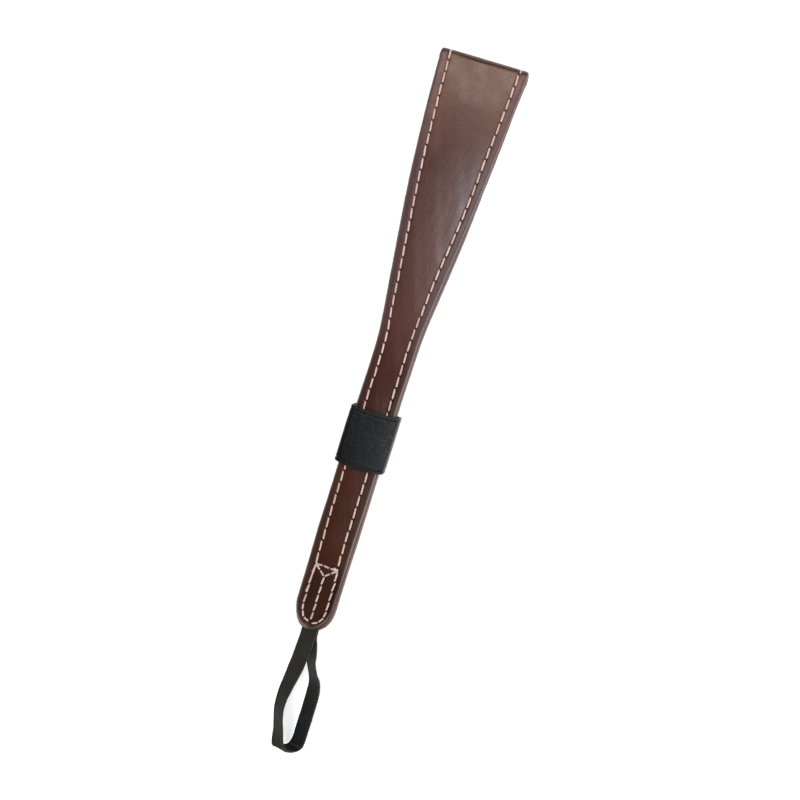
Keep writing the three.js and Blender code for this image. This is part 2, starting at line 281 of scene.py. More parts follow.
def strip_path():
    half = LEATHER_WALL / 2
    bend = FOLD_RADIUS - half
    centre_along = LEATHER_LENGTH - FOLD_RADIUS
    start_along = centre_along + bend * math.sin(FOLD_LIFT)
    start_height = FOLD_RADIUS + bend * math.cos(FOLD_LIFT) - half
    front_rows = FRONT_HEIGHTS + [Height(start_along, start_height)]

    front = np.linspace(0, start_along, PATH_ROWS)
    down = (math.cos(FOLD_LIFT), -math.sin(FOLD_LIFT))
    start = (start_along, start_height + half)
    outermost = (centre_along + bend, FOLD_RADIUS)
    end = (centre_along, FOLD_RADIUS - bend)
    upper = quarter_turn(start, down, outermost, (0, -1))
    lower = quarter_turn(end, (1, 0), outermost, (0, 1))[::-1]
    turn = np.concatenate([upper[1:], lower[1:-1]])
    back = np.linspace(centre_along, 0, PATH_ROWS)
    along = np.concatenate([front, np.full(len(turn), LEATHER_LENGTH), back])
    setback = TIP_SETBACK * (1 - front / LEATHER_LENGTH)
    world_along = np.concatenate([front + setback, turn[:, 0], back])
    z = np.concatenate([
        value_at(front_rows, "height", front) + half,
        turn[:, 1],
        value_at(BACK_HEIGHTS, "height", back) + half,
    ])
    y = world_along - LEATHER_LENGTH + FOLD_Y
    travel = running_total(np.hypot(np.diff(y), np.diff(z)))
    dy, dz = np.gradient(y, travel), np.gradient(z, travel)
    length = np.hypot(dy, dz)
    on_front = np.concatenate([np.ones(len(front)), np.zeros(len(turn) + len(back))])
    on_back = np.concatenate([np.zeros(len(front) + len(turn)), np.ones(len(back))])
    crown = PANEL_CROWN * smoothstep(LEATHER_LENGTH - along, *CROWN_OFF_FOLD)
    crown = crown * smoothstep(along, *CROWN_OFF_TIP) * on_front
    release = 1 - smoothstep(along, SEWN_LENGTH, SEWN_LENGTH + PINCH_RELEASE)
    out_z = dy / length
    trimmed = smoothstep(along, *TRIM_BEGINS) * (1 - smoothstep(along, *TRIM_ENDS)) * on_back
    half_width = strip_half_width(along) - BACK_TRIM * trimmed
    drift = BACK_DRIFT * (1 - along / LEATHER_LENGTH) * on_back
    drift = drift + SIDE_SHIFT * smoothstep(along, *SHIFT_BEGINS)
    under = smoothstep(-out_z, 0.0, 0.8)
    pinch = SEWN_PINCH * release
    return Strip(travel, along, y, z, -dz / length, out_z, half_width, drift, crown, pinch, under)


PATH = strip_path()
STRIP_TRAVEL = PATH.travel[-1]
FOLD_TRAVEL = float(PATH.travel[np.argmax(PATH.y)])


def strip_at(travel):
    return Strip(*(np.interp(travel, PATH.travel, column) for column in PATH))


def seam_across(strip, side):
    """Across position of a row of stitches: side is -1 for the left one, 1 for the right."""
    column = "left" if side < 0 else "right"
    return side * (strip.half_width - value_at(SEAM_INSETS, column, strip.along))


def edge_distance(strip, across):
    """Distance from the strip's outline, which ends in half an oval."""
    sideways = strip.half_width - np.abs(across)
    run = np.clip((TIP_LENGTH - strip.along) / TIP_LENGTH, 0, 1)
    reach = np.hypot(across / (TIP_WIDTH / 2), run)
    steepness = np.hypot(across / (TIP_WIDTH / 2) ** 2, run / TIP_LENGTH)
    round_end = (1 - reach) * reach / np.maximum(steepness, 1e-4)
    return np.maximum(0, np.where(run > 0, round_end, sideways))


def seam_depth(strip, across):
    """Signed distance inside the nearer row of stitches: positive on the panel."""
    left = across - seam_across(strip, -1)
    right = seam_across(strip, 1) - across
    return np.minimum(left, right)


GROOVE_DEPTH = 0.16
GROOVE_WIDTH = 0.36
GROOVE_SHIFT = -0.05  # the groove lies under the thread
PANEL_SWELL = 0.04
SWELL_FADE = (0.2, 2.4)  # inwards from the seam
INNER_SWELL, INNER_GROOVE = 0.5, 0.7  # shares of the outer face's relief
RELIEF_FADE = (SEWN_LENGTH - 2, SEWN_LENGTH + 6)


def leather_level(strip, across, face):
    """How far one face of the leather is from the middle of the wall."""
    inner_edge = np.minimum(edge_distance(strip, across), EDGE_ROUND)
    rounding = np.sqrt(np.maximum(0, EDGE_ROUND**2 - (EDGE_ROUND - inner_edge) ** 2))
    level = LEATHER_WALL / 2 - EDGE_ROUND + rounding
    inside = seam_depth(strip, across)
    relief = smoothstep(strip.along, *RELIEF_FADE)
    groove = GROOVE_DEPTH * np.exp(-(((inside - GROOVE_SHIFT) / GROOVE_WIDTH) ** 2)) * relief
    swell = smoothstep(inside, *SWELL_FADE) * relief
    if face > 0:
        flat = np.maximum(strip.half_width - EDGE_ROUND, 0.1)
        crown = strip.crown * np.maximum(0, 1 - (across / flat) ** 2)
        padding = PANEL_SWELL * (swell - strip.under)  # nothing bulges below the ground
        return level + crown + padding - groove
    return level + INNER_SWELL * PANEL_SWELL * swell - INNER_GROOVE * groove


def on_leather(travel, across, face, lift=0.0):
    """Points on the leather's outer (face 1) or inner (face -1) side, in millimetres."""
    strip = strip_at(travel)
    level = leather_level(strip, across, face) + lift
    drawn = strip.pinch * smoothstep(np.abs(across), PINCH_START, PINCH_END)
    depth = face * level - drawn
    x = MIDDLE_X + strip.drift + across
    return np.stack([x, strip.y + strip.out_y * depth, strip.z + strip.out_z * depth], -1)


# -------- stitch layout
# A stitch runs between two holes, each given by its travel and its across position.
Stitch = namedtuple("Stitch", "travel0 across0 travel1 across1")
Place = namedtuple("Place", "travel across")

KNOT_LEFT = Place(22.3, -3.6)
KNOT_RIGHT = Place(22.1, 4.0)
FORK = Place(18.9, 0.45)
CENTRE_END = Place(2.6, 0.45)


def between_holes(travel, across):
    return [Stitch(*row) for row in zip(travel[:-1], across[:-1], travel[1:], across[1:])]


def run_of_stitches(places, pitch):
    """Stitches of about one pitch along a polyline of places."""
    points = np.array(places, float)
    reach = running_total(np.hypot(*np.diff(points, axis=0).T))
    count = max(1, round(reach[-1] / pitch))
    marks = np.linspace(0, reach[-1], count + 1)
    return between_holes(*(np.interp(marks, reach, column) for column in points.T))


def seam_row(side, first, pitch, last):
    """The long row of stitches beside one edge, from one end's pattern to the other's."""
    holes = np.arange(first, last, pitch)
    return between_holes(holes, seam_across(strip_at(holes), side))


def tip_pattern():
    """The stitches that hold the tape: a U with a bar across its top, and a Y inside it."""
    left_side = [KNOT_LEFT, (18, -3.9), (12, -3.75), (9, -3.9), (7.6, -3.8), (4.7, -3.2),
                 (3.0, -2.3), (2.2, -1.2), (2.0, -0.1)]
    right_side = [(21.5, 4.3), (17.5, 4.6), (7.2, 4.65), (5.0, 4.6), (3.5, 4.0), (2.4, 3.0),
                  (1.8, 2.0), (1.6, 0.9)]
    again_left = [(20.6, -3.7), (11.5, -3.95)]
    knots = [
        Stitch(20.4, -3.7, 23.4, -3.45), Stitch(20.0, 4.45, 22.9, 4.15),
        Stitch(21.0, 3.2, 22.6, 4.5), Stitch(22.9, 2.6, 22.1, 4.6),
    ]
    lines_and_pitches = [
        (left_side[:5], 3.4), (left_side[4:], 2.6), (right_side[:3], 3.4), (right_side[2:], 2.3),
        ([KNOT_LEFT, (22.5, -1.2), KNOT_RIGHT], 2.6), ([KNOT_LEFT, FORK], 2.7),
        ([KNOT_RIGHT, FORK], 2.9), ([FORK, CENTRE_END], 3.4), (again_left, 3.4),
    ]
    stitches = [s for line, pitch in lines_and_pitches for s in run_of_stitches(line, pitch)]
    return stitches + knots


# Needle marks of an earlier seam that show beside the right-hand side of the U.
NEEDLE_MARKS = [Stitch(t, 3.5, t + 0.2, 3.5) for t in (8.0, 11.2, 14.4)]


def mirrored(stitches):
    """The same stitches seen on the back half, at the other end of the strip."""
    far = STRIP_TRAVEL
    return [
        Stitch(far - s.travel0, s.across0, far - s.travel1, s.across1) for s in stitches
    ]


LAST_STITCH = STRIP_TRAVEL - KNOT_LEFT.travel + 1
SEAM_STITCHES = seam_row(-1, KNOT_LEFT.travel, STITCH_LEFT, LAST_STITCH)
SEAM_STITCHES += seam_row(1, KNOT_RIGHT.travel + 1.4, STITCH_RIGHT, LAST_STITCH)
TIP_STITCHES = tip_pattern()
OUTER_STITCHES = SEAM_STITCHES + TIP_STITCHES + mirrored(TIP_STITCHES) + NEEDLE_MARKS


BED_DEPTH, BED_WIDTH = 0.16, 0.34  # the bed that the thread presses
HOLE_DEPTH, HOLE_RADIUS = 0.42, 0.42
MARK_DEPTH = 0.25  # of a needle mark with no thread in it
PRESS_REACH = 1.2  # how far from a stitch the leather can be drawn in


def pressed_in(travel, across, stitches):
    """How far the thread has drawn the leather in: a shallow bed with a hole at each end."""
    depth = np.zeros(np.broadcast(travel, across).shape)
    for s in stitches:
        near = slice(
            np.searchsorted(travel[:, 0], min(s.travel0, s.travel1) - PRESS_REACH),
            np.searchsorted(travel[:, 0], max(s.travel0, s.travel1) + PRESS_REACH),
        )
        t, a = travel[near], across[near]
        dt, da = s.travel1 - s.travel0, s.across1 - s.across0
        length = math.hypot(dt, da)
        along = np.clip(((t - s.travel0) * dt + (a - s.across0) * da) / length**2, 0, 1)
        off = np.hypot(t - s.travel0 - along * dt, a - s.across0 - along * da)
        to_hole = np.minimum(
            np.hypot(t - s.travel0, a - s.across0), np.hypot(t - s.travel1, a - s.across1)
        )
        bed_depth, hole_depth = (BED_DEPTH, HOLE_DEPTH) if length > 1 else (0.0, MARK_DEPTH)
        bed = bed_depth * np.exp(-((off / BED_WIDTH) ** 2))
        hole = hole_depth * np.exp(-(to_hole / HOLE_RADIUS) ** 2)
        depth[near] = np.maximum(depth[near], np.maximum(bed, hole))
    return depth


# -------- leather band
LAYER_STEP = 1.0  # how far the lower layer reaches past the upper one at the front tip
LAYER_STEP_LENGTH = 5.0
COAT_SPREAD = 0.25  # below 1, the edge coat runs farther onto the inner face
ROW_SPACING = 0.55
RIM_BULGE = 0.08
UNEVEN = 0.03
LONG_SWAY, SHORT_SWAY = 0.05, 0.02
RIM_SEAM = -3.0  # the rims count as this far outside the stitches
EDGE_STEPS = np.array([0, 0.03, 0.12, 0.27, 0.5, EDGE_ROUND])
GROOVE_STEPS = np.array([-0.75, -0.5, -0.28, -0.08, 0.12, 0.32, 0.54, 0.8, 1.15, 1.6, 2.2])


def column_positions(strip):
    """Across positions of the outer face's points, one row per place along the strip."""
    reference = NARROW_WIDTH / 2
    shrink = np.minimum(1, strip.half_width / reference)
    half = np.maximum(strip.half_width, reference)
    sides = []
    for side, column in ((-1, "left"), (1, "right")):
        inset = value_at(SEAM_INSETS, column, strip.along)
        edge = EDGE_STEPS + 0 * inset
        margin_width = inset + GROOVE_STEPS[0] - EDGE_STEPS[-1]
        margin = EDGE_STEPS[-1] + margin_width * np.array([0.35, 0.7])
        groove = inset + GROOVE_STEPS
        panel_start = inset + GROOVE_STEPS[-1]
        panel = panel_start + (half - panel_start) * np.linspace(0, 1, 8)[1:-1]
        inward = np.concatenate([edge, margin, groove, panel], axis=1)
        sides.append(side * (half - inward) * shrink)
    return np.concatenate([sides[0], 0 * strip.along, sides[1][:, ::-1]], axis=1)


def leather_rows():
    """Places along the strip, closer together round both ends."""
    round_end = TIP_LENGTH * (1 - np.cos(np.linspace(0.06, math.pi / 2, 26)))
    body = np.arange(TIP_LENGTH + ROW_SPACING, STRIP_TRAVEL - TIP_LENGTH - 0.3, ROW_SPACING)
    return np.concatenate([round_end, body, STRIP_TRAVEL - round_end[::-1]])[:, None]


def round_wall(outer, inner, right_rim, left_rim):
    """Values in the order of a ring of points round the leather's wall."""
    return np.concatenate([outer, right_rim, inner[:, ::-1], left_rim], axis=1)


def leather_band():
    travel = leather_rows()
    strip = strip_at(travel)
    across = column_positions(strip)
    inner_across = across[:, ::2]
    uneven = UNEVEN * waves(travel + 3 * across, 5, 23) - UNEVEN * strip.under
    uneven = uneven * smoothstep(edge_distance(strip, across), 0.5, 2)
    dents = pressed_in(travel, across, OUTER_STITCHES)
    inner_dents = pressed_in(travel, inner_across, SEAM_STITCHES)
    outer = on_leather(travel, across, 1, uneven - dents)
    inner = on_leather(travel, inner_across, -1, -inner_dents)
    bulge = RIM_BULGE * np.minimum(1, strip.half_width / 3)
    right_rim = (outer[:, -1:] + inner[:, -1:]) / 2
    left_rim = (outer[:, :1] + inner[:, :1]) / 2
    right_rim[..., 0] += bulge
    left_rim[..., 0] -= bulge
    rings = round_wall(outer, inner, right_rim, left_rim)
    rings[..., 0] += LONG_SWAY * waves(travel, 3, 45) + SHORT_SWAY * waves(travel, 4, 7)
    past_tip = LAYER_STEP * np.clip(1 - travel / LAYER_STEP_LENGTH, 0, 1) ** 0.7
    rings[:, across.shape[1]:, 1] -= past_tip
    rim = 0 * travel
    inner_edge = COAT_SPREAD * edge_distance(strip, inner_across)
    seam, inner_seam = seam_depth(strip, across), seam_depth(strip, inner_across)
    attributes = {
        "travel": travel,
        "across": round_wall(across, inner_across, across[:, -1:], across[:, :1]),
        "edge": round_wall(edge_distance(strip, across), inner_edge, rim, rim),
        "seam": round_wall(seam, inner_seam, rim + RIM_SEAM, rim + RIM_SEAM),
        "dent": round_wall(dents, 0 * inner_across, rim, rim),
    }
    uv = (attributes["across"], travel)
    piece = make_mesh("leather_band", rings, tube_faces(rings), brown_leather(), attributes, uv)
    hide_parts("strap_band")
    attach(piece, "root")


# -------- thread
THREAD_ROWS, THREAD_COLUMNS = 17, 12
THREAD_PLIES = 3
PLY_RELIEF = 0.13
PLY_TURN = 1.9  # length of thread in which its plies go round once
END_TAPER = 0.25
HOLE_DIVE = 0.95  # how deep a stitch goes into its holes
THREAD_SINK = 0.08
THREAD_STANDS = 0.32  # share of the thread's height that its middle line is raised by
STITCH_SCATTER = 0.03
CROSSWISE_LEAN = 0.02  # of stitches that run across the strap or slanting
END_HOOK = 1.3  # a stitch hooks back by this share of its lean at its second hole


def thread_mesh(name, stitches, face, seed):
    """Every stitch of a list as a short twisted length of thread that dips into its holes."""
    draw = np.random.default_rng(seed)
    stations = (1 - np.cos(math.pi * np.linspace(0, 1, THREAD_ROWS))) / 2
    toward_end = np.abs(2 * stations - 1)
    lobes = np.linspace(0, 2 * math.pi, THREAD_COLUMNS, endpoint=False)
    count = len(stitches)
    t0, a0, t1, a1 = np.array(stitches).T[..., None]
    dt, da = t1 - t0, a1 - a0
    length = np.hypot(dt, da)
    spare = STITCH_GAP / 2 / length
    k = spare + stations * (1 - 2 * spare)
    lean = np.where(np.abs(da) < 0.35 * np.abs(dt), STITCH_LEAN, CROSSWISE_LEAN)
    slant = (lean + draw.normal(0, STITCH_SCATTER, (count, 1))) * (1 - 2 * stations)
    hook = -END_HOOK * lean * smoothstep(stations, 0.82, 1.0)
    offset = slant + hook + draw.normal(0, STITCH_SCATTER, (count, 1))
    offset = offset * np.sign(dt + 1e-6) / length
    travel = t0 + k * dt - offset * da
    across = a0 + k * da + offset * dt
    height = THREAD_HEIGHT * draw.normal(1, 0.05, (count, 1))
    strip = strip_at(travel)
    lift = height * THREAD_STANDS - HOLE_DIVE * toward_end**16 - THREAD_SINK
    lift = lift - UNDER_BURY * strip.under * (face > 0)
    centre = on_leather(travel, across, face, lift)
    tangent = unit(np.gradient(centre, axis=1))
    out = face * np.stack([np.zeros_like(travel), strip.out_y, strip.out_z], -1)
    sideways = unit(np.cross(tangent, out))
    up = np.cross(sideways, tangent)
    twist = 2 * math.pi * (k * length / PLY_TURN + draw.random((count, 1)))
    ply = np.cos(THREAD_PLIES * (lobes - twist[..., None]))
    girth = (1 + PLY_RELIEF * ply) * (1 - END_TAPER * toward_end**4)[:, None] / 2
    wide = (THREAD_WIDTH * girth * np.cos(lobes))[..., None]
    tall = (height[..., None] * girth * np.sin(lobes))[..., None]
    rings = centre[:, :, None] + sideways[:, :, None] * wide + up[:, :, None] * tall
    one = tube_faces(rings[0])
    firsts = range(0, count * THREAD_ROWS * THREAD_COLUMNS, THREAD_ROWS * THREAD_COLUMNS)
    faces = [tuple(first + corner for corner in quad) for first in firsts for quad in one]
    shade = draw.normal(0, 1, (count, 1, 1))
    attributes = {"shade": shade, "end": toward_end[:, None], "ply": ply}
    piece = make_mesh(name, rings, faces, THREAD_MATERIAL, attributes)
    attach(piece, "root")


# -------- tape
def centripetal_curve(points, places):
    """Points on a centripetal Catmull-Rom curve, at places from 0 to 1 over its rows."""
    p = np.asarray(points, float)
    first = 2 * p[0] - p[1]
    last = 2 * p[-1] - p[-2]
    p = np.vstack([first, p, last])
    spot = np.clip(np.asarray(places) * (len(points) - 1), 0, len(points) - 1 - 1e-9)
    i = spot.astype(int)
    t = (spot - i)[:, None]
    p0, p1, p2, p3 = p[i], p[i + 1], p[i + 2], p[i + 3]
    d1, d2, d3 = (
        np.maximum(np.linalg.norm(b - a, axis=1, keepdims=True) ** 0.5, 1e-4)
        for a, b in ((p0, p1), (p1, p2), (p2, p3))
    )
    m1 = ((p1 - p0) / d1 - (p2 - p0) / (d1 + d2) + (p2 - p1) / d2) * d2
    m2 = ((p2 - p1) / d2 - (p3 - p1) / (d2 + d3) + (p3 - p2) / d3) * d2
    a = 2 * p1 - 2 * p2 + m1 + m2
    b = -3 * p1 + 3 * p2 - 2 * m1 - m2
    return ((a * t + b) * t + m1) * t + p1


BEND_ROW = 16.1  # the row, tails counted, where the tape is creased at the foot of the loop
RIB_PITCH = 0.62
RIB_HEIGHT = 0.035
RIB_SLOPE = 0.35  # the ribs lean into a shallow chevron
RIM_RADIUS = 0.42
RIM_FULLNESS = 1.15
FACE_LEVEL = 0.36  # from the middle of the tape to its faces, between the rims
TAPE_UNEVEN, TAPE_SWAY = 0.03, 0.05  # of its thickness, as a share, and of its edges


def tape_section():
    """Outline of the tape: w across and t through, with a fuller rim along each edge."""
    arc = np.linspace(-math.pi / 2, math.pi / 2, 7)
    rim_w = TAPE_WIDTH / 2 - RIM_RADIUS
    right = np.stack(
        [rim_w + RIM_RADIUS * np.cos(arc), RIM_RADIUS * RIM_FULLNESS * np.sin(arc)], -1
    )
    face_w = np.linspace(rim_w, -rim_w, 13)[1:-1]
    top = np.stack([face_w, np.full(len(face_w), FACE_LEVEL)], -1)
    return np.concatenate([right, top, -right, -top])


def woven_tape():
    tails = [TAPE_TAIL, TAPE_TAIL / 2, 1.5]
    rows = [TapeRow(a, TAPE_ACROSS, TAIL_HIGH, 0, 0) for a in tails]
    rows += TAPE_ROUTE
    rows += [TapeRow(a, TAPE_ACROSS + 0.3, TAIL_LOW, 0, 0) for a in reversed(tails)]
    centres = [(r.across + MIDDLE_X, r.along - LEATHER_LENGTH + FOLD_Y, r.height) for r in rows]
    coarse = np.linspace(0, 1, 1200)
    line = centripetal_curve(centres, coarse)
    run = running_total(np.linalg.norm(np.diff(line, axis=0), axis=1))
    marks = np.arange(0, run[-1], RIB_PITCH / 6)
    places = np.interp(marks, run, coarse)
    centre = centripetal_curve(centres, places)
    turns = np.radians(centripetal_curve([(r.tilt, r.slew, 0) for r in rows], places))
    tilt, slew = turns[:, 0], turns[:, 1]
    wide = np.stack([np.cos(tilt) * np.cos(slew), np.cos(tilt) * np.sin(slew), np.sin(tilt)], -1)
    face = unit(np.cross(wide, unit(np.gradient(centre, axis=0))))
    crease_at = np.interp(BEND_ROW / (len(rows) - 1), places, marks)
    lowest_at = marks[np.argmin(centre[:, 1])]
    marks, places = marks[:, None], places[:, None]
    w, t = tape_section().T[:, None]
    rim = np.abs(w) / (TAPE_WIDTH / 2)
    rib = np.cos(2 * math.pi * (marks - RIB_SLOPE * np.abs(w)) / RIB_PITCH)
    relief = RIB_HEIGHT * rib * np.clip(1 - rim**6, 0, 1)
    thick = t * (1 + TAPE_UNEVEN * waves(marks, 11, 17)) + np.sign(t) * relief
    sway = TAPE_SWAY * waves(marks, 12, 9) * np.sign(w)
    rings = centre[:, None] + wide[:, None] * (w + sway)[..., None] + face[:, None] * thick[..., None]
    attributes = {
        "tone": places,
        "crease": np.exp(-(((marks - crease_at) / 0.3) ** 2)),
        "turned": smoothstep(marks, lowest_at - 0.5, lowest_at + 1.5) * (marks < crease_at),
        "rim": rim,
        "rib": rib,
    }
    uv = (np.linspace(0, 2 * (TAPE_WIDTH + TAPE_THICKNESS), w.size, endpoint=False), marks)
    piece = make_mesh("woven_tape", rings, tube_faces(rings), black_tape(), attributes, uv)
    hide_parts("lug_loop")
    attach(piece, "root")


# -------- keeper
KEEPER_COLUMNS = 132
KEEPER_EDGE = 0.35  # rounding of its ends
KEEPER_SAG = 0.35  # how much more its end nearer the tip bows
CORNER_TRIM = 0.3  # how much shorter the sleeve is at its left-hand side
CREASE_INSET, CREASE_DEPTH, CREASE_WIDTH = 1.25, 0.16, 0.16
HEM_PUFF, HEM_WIDTH = 0.04, 0.5
KEEPER_BELLY = 0.096
KEEPER_UNEVEN = 0.025
MOST_PUFF = 0.22
UNDERSIDE = 0.12  # share of its height that stays flat
BORE_CORNER = 0.8
BORE_FLARE = 0.25


def rounded_outline(width, height, corner):
    """Points round a rounded rectangle, anticlockwise from the right-hand side's middle."""
    across = width / 2 - corner
    up = height / 2 - corner
    arc = np.linspace(0, math.pi / 2, 9)
    sides = []
    for sx, sz, start in ((1, 1, 0), (-1, 1, 1), (-1, -1, 2), (1, -1, 3)):
        angle = arc + start * math.pi / 2
        x, z = sx * across + corner * np.cos(angle), sz * up + corner * np.sin(angle)
        sides.append(np.stack([x, z], -1))
    corners = np.concatenate(sides)
    closed = np.vstack([corners, corners[:1]])
    reach = running_total(np.linalg.norm(np.diff(closed, axis=0), axis=1))
    marks = np.linspace(0, reach[-1], KEEPER_COLUMNS, endpoint=False)
    return np.stack([np.interp(marks, reach, closed[:, i]) for i in (0, 1)], -1), marks


def keeper_places(length):
    """Places along the outside of the sleeve, closer together at its ends and creases."""
    near_end = np.concatenate([
        [0.0, 0.06, 0.18, KEEPER_EDGE, 0.7, 1.0], CREASE_INSET + np.linspace(-0.35, 0.35, 7),
        [2.3, 3.0],
    ])
    middle = np.linspace(4, length - 4, 16)
    return np.concatenate([near_end, middle, length - near_end[::-1]])[:, None]


def keeper_puff(places, length, marks, level):
    """How far the outside stands out: rounded ends, a crease beside each, a soft belly."""
    nearest = np.minimum(places, length - places)
    inside_edge = KEEPER_EDGE - np.minimum(nearest, KEEPER_EDGE)
    rounding = KEEPER_EDGE - np.sqrt(np.maximum(0, KEEPER_EDGE**2 - inside_edge**2))
    crease = CREASE_DEPTH * np.exp(-(((nearest - CREASE_INSET) / CREASE_WIDTH) ** 2))
    hem = HEM_PUFF * np.exp(-(((nearest - CREASE_INSET / 2) / HEM_WIDTH) ** 2))
    belly = KEEPER_BELLY * np.sin(math.pi * places / length) * smoothstep(level, 0.7, 1.0)
    soft = KEEPER_UNEVEN * waves(places + 1.7 * marks, 21, 19)
    puff = np.minimum(hem - rounding - crease + belly + soft, MOST_PUFF)
    return np.where(level < UNDERSIDE, np.minimum(puff, 0), puff)


def keeper_sleeve():
    slip = Vector((0, KEEPER_SLIP, 0))
    low, high = KEEPER_LOW / MM - slip, KEEPER_HIGH / MM - slip
    width, height = high.x - low.x, high.z - low.z
    middle_x, middle_z = (low.x + high.x) / 2, (low.z + high.z) / 2
    length = high.y - low.y - KEEPER_BOW
    outline, marks = rounded_outline(width, height, KEEPER_CORNER)
    normal = np.roll(outline, -1, axis=0) - np.roll(outline, 1, axis=0)
    normal = unit(np.stack([normal[:, 1], -normal[:, 0]], -1))
    level = (outline[:, 1] + height / 2) / height
    sideways = np.clip(2 * np.abs(outline[:, 0]) / width, 0, 1)
    arch = level**2 * (1 - sideways**2)
    trim = CORNER_TRIM * smoothstep(-outline[:, 0] / width, 0.0, 0.5) * level

    def lengthwise(places):
        run = places / length
        y = low.y + KEEPER_BOW + places - KEEPER_BOW * arch
        return y - KEEPER_SAG * arch * (1 - run) - trim * run

    places = keeper_places(length)
    puff = keeper_puff(places, length, marks, level)
    x = outline[:, 0] + normal[:, 0] * puff + middle_x
    z = outline[:, 1] + normal[:, 1] * puff + middle_z
    outside = np.stack([x, lengthwise(places), z], -1)
    bore, _ = rounded_outline(width - 2 * KEEPER_WALL, height - 2 * KEEPER_WALL, BORE_CORNER)
    bore_end = [length, length - BORE_FLARE]
    bore_places = np.concatenate([bore_end, np.linspace(length - 2, 2, 6), [BORE_FLARE, 0]])[:, None]
    from_end = np.minimum(bore_places, length - bore_places)
    grow = 1 + BORE_FLARE * np.exp(-from_end / BORE_FLARE) / (height / 2)
    x, z = bore[:, 0] * grow + middle_x, bore[:, 1] * grow + middle_z
    rings = np.concatenate([outside, np.stack([x, lengthwise(bore_places), z], -1)])
    off_end = np.minimum(np.minimum(places, length - places), 3)
    attributes = {
        "rim": np.concatenate([off_end, 0 * bore_places]),
        "across": (rings[..., 0] - middle_x) / (width / 2),
    }
    uv = (marks, np.concatenate([places, bore_places]))
    faces = tube_faces(rings, loop=True)
    piece = make_mesh("keeper_sleeve", rings, faces, black_leather(), attributes, uv)
    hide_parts("sliding_keeper")
    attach(piece, "root")


# -------- materials
def put(tree, socket, value):
    """Set a node's socket to a number or a colour, or link another node's output to it."""
    if isinstance(value, (int, float)):
        socket.default_value = value
    elif isinstance(value, tuple):
        socket.default_value = (*value, 1.0)
    else:
        tree.links.new(value, socket)


STRETCH = 0.45  # scale along the strap of what runs lengthwise in the leather


class Nodes:
    """Short calls for building the node tree of a material or of the world."""

    def __init__(self, owner, shader="Principled BSDF"):
        owner.use_nodes = True
        self.owner = owner
        self.tree = owner.node_tree
        self.shader = self.tree.nodes[shader]

    def add(self, kind, inputs=None, **settings):
        node = self.tree.nodes.new(kind)
        for key, value in settings.items():
            setattr(node, key, value)
        for key, value in (inputs or {}).items():
            put(self.tree, node.inputs[key], value)
        return node

    def attribute(self, name):
        return self.add("ShaderNodeAttribute", attribute_name=name).outputs["Fac"]

    def scaled(self, along=1.0):
        """Object coordinates, scaled by a factor along the strap."""
        coordinates = self.add("ShaderNodeTexCoord").outputs["Object"]
        mapping = self.add("ShaderNodeMapping", {"Vector": coordinates})
        mapping.inputs["Scale"].default_value = (1.0, along, 1.0)
        return mapping.outputs["Vector"]

    def noise(self, scale, detail, roughness, along=1.0):
        inputs = {"Scale": scale, "Detail": detail, "Roughness": roughness}
        inputs["Vector"] = self.scaled(along)
        return self.add("ShaderNodeTexNoise", inputs).outputs["Fac"]

    def pebbles(self, scale):
        inputs = {"Scale": scale, "Vector": self.scaled()}
        return self.add("ShaderNodeTexVoronoi", inputs, feature="SMOOTH_F1").outputs["Distance"]

    def remap(self, value, low, high, to_low=0.0, to_high=1.0, straight=False):
        inputs = {
            "Value": value, "From Min": low, "From Max": high, "To Min": to_low, "To Max": to_high,
        }
        kind = "LINEAR" if straight else "SMOOTHSTEP"
        return self.add("ShaderNodeMapRange", inputs, interpolation_type=kind).outputs["Result"]

    def ramp(self, factor, stops):
        node = self.add("ShaderNodeValToRGB", {"Fac": factor})
        elements = node.color_ramp.elements
        while len(elements) < len(stops):
            elements.new(0.5)
        for element, (place, colour) in zip(elements, stops):
            element.position = place
            element.color = (*colour, 1.0)
        return node.outputs["Color"]

    def math(self, operation, a, b=0.0):
        return self.add("ShaderNodeMath", {0: a, 1: b}, operation=operation).outputs[0]

    def times(self, first, *others):
        for other in others:
            first = self.math("MULTIPLY", first, other)
        return first

    def most(self, first, *others):
        for other in others:
            first = self.math("MAXIMUM", first, other)
        return first

    def rest(self, value):
        """What is left of 1."""
        return self.math("SUBTRACT", 1.0, value)

    def apart(self, value, place):
        return self.math("ABSOLUTE", self.math("SUBTRACT", value, place))

    def line(self, value, place, core, fade):
        """A soft line: 1 within core of the place and 0 beyond fade."""
        return self.rest(self.remap(self.apart(value, place), core, fade))

    def mix(self, factor, a, b, blend="MIX"):
        inputs = {0: factor, 6: a, 7: b}
        return self.add("ShaderNodeMix", inputs, data_type="RGBA", blend_type=blend).outputs[2]

    def tint(self, mask, colour, factors):
        """The colour multiplied by a tint where the mask says so."""
        return self.mix(mask, colour, self.mix(1.0, colour, factors, "MULTIPLY"))

    def bump(self, height, strength, distance, below=None):
        inputs = {"Strength": strength, "Distance": distance, "Height": height}
        if below is not None:
            inputs["Normal"] = below
        return self.add("ShaderNodeBump", inputs).outputs["Normal"]

    def set(self, **values):
        for key, value in values.items():
            put(self.tree, self.shader.inputs[key.replace("_", " ")], value)


# The leather's colour from the fold to the sewn ends, lighter towards the fold: painted light,
# standing in for the stronger light and sheen there.
Shade = namedtuple("Shade", "off_fold colour")
LEATHER_SHADES = [Shade(*row) for row in (
    (0, (0.13, 0.057, 0.034)), (21, (0.100, 0.042, 0.027)), (42, (0.070, 0.0265, 0.0185)),
    (88, (0.064, 0.0235, 0.0165)), (116, (0.045, 0.0118, 0.0063)),
    (178, (0.045, 0.0134, 0.0058)), (190, (0.0285, 0.0088, 0.0048)),
)]

